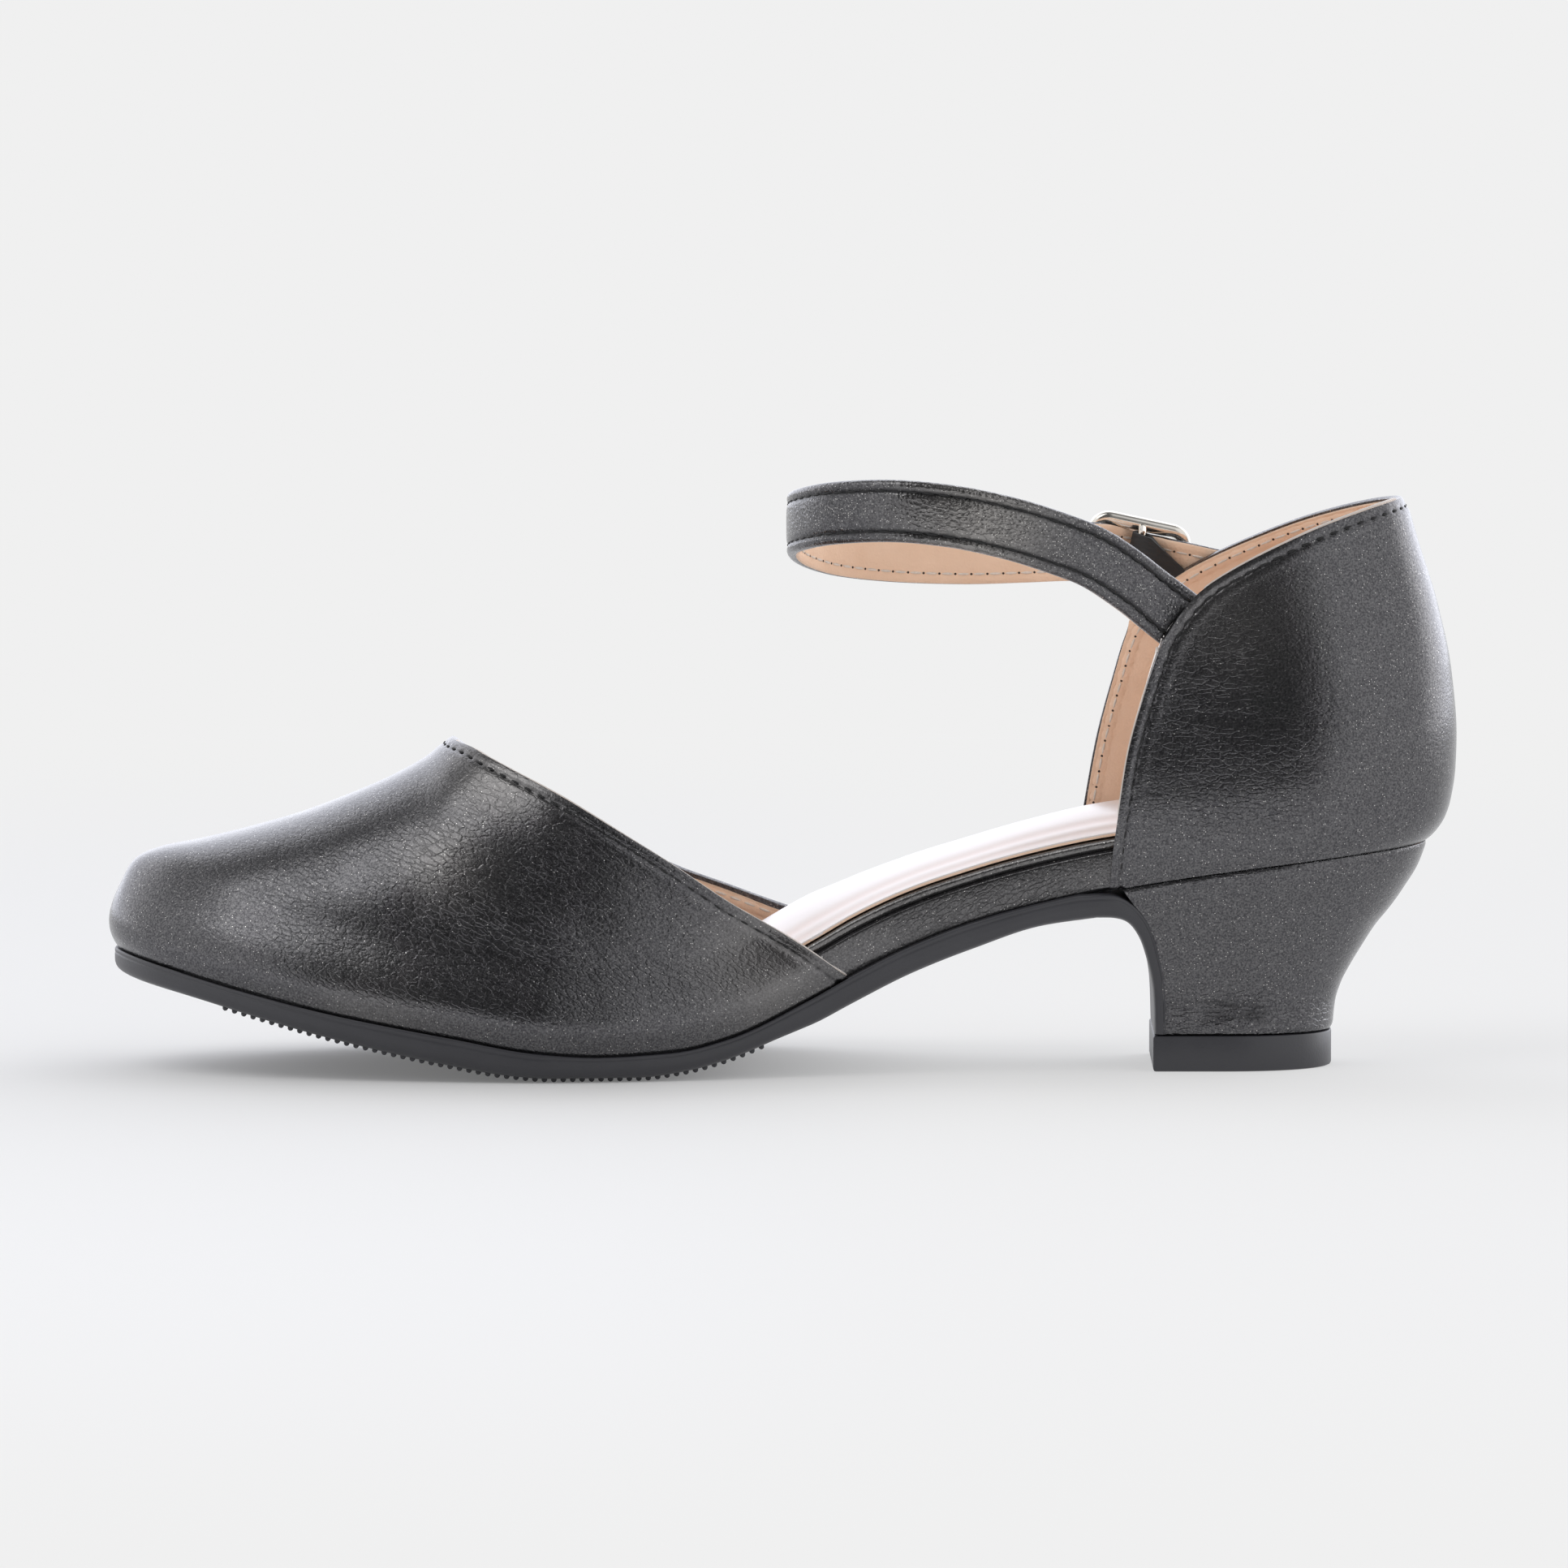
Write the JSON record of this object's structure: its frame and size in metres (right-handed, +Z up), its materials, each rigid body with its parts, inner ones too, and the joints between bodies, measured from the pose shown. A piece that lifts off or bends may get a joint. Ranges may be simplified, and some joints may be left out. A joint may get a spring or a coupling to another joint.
{
  "type": "ankle-strap pump",
  "caption": "Two-piece closed-toe pump for the right foot with an open waist, a buckled ankle strap and a low curved covered heel.",
  "frame": {"origin": "on the floor, under the middle of the shoe's bounding box", "axes": "+X towards the heel, -X towards the toe, -Y towards the inner side of the foot, +Z up"},
  "size_m": [0.2453, 0.0811, 0.1082],
  "materials": {
    "black_rubber": "satin",
    "metallic_leather": "fine metallic flecks, satin",
    "rose_pearl": "pearl",
    "tan_lining": "matt, on the inside of vamp, quarter and strap",
    "black_elastic": "matt",
    "pale_metal": "polished"
  },
  "bodies": {
    "root": {"outsole": "black_rubber", "heel": "metallic_leather", "top_lift": "black_rubber", "wrapped_board": "metallic_leather", "insole": "rose_pearl", "vamp": "metallic_leather", "quarter": "metallic_leather", "ankle_strap": "metallic_leather", "buckle_tab": "black_elastic", "buckle_frame": "pale_metal", "buckle_prong": "pale_metal"}
  },
  "joints": []
}
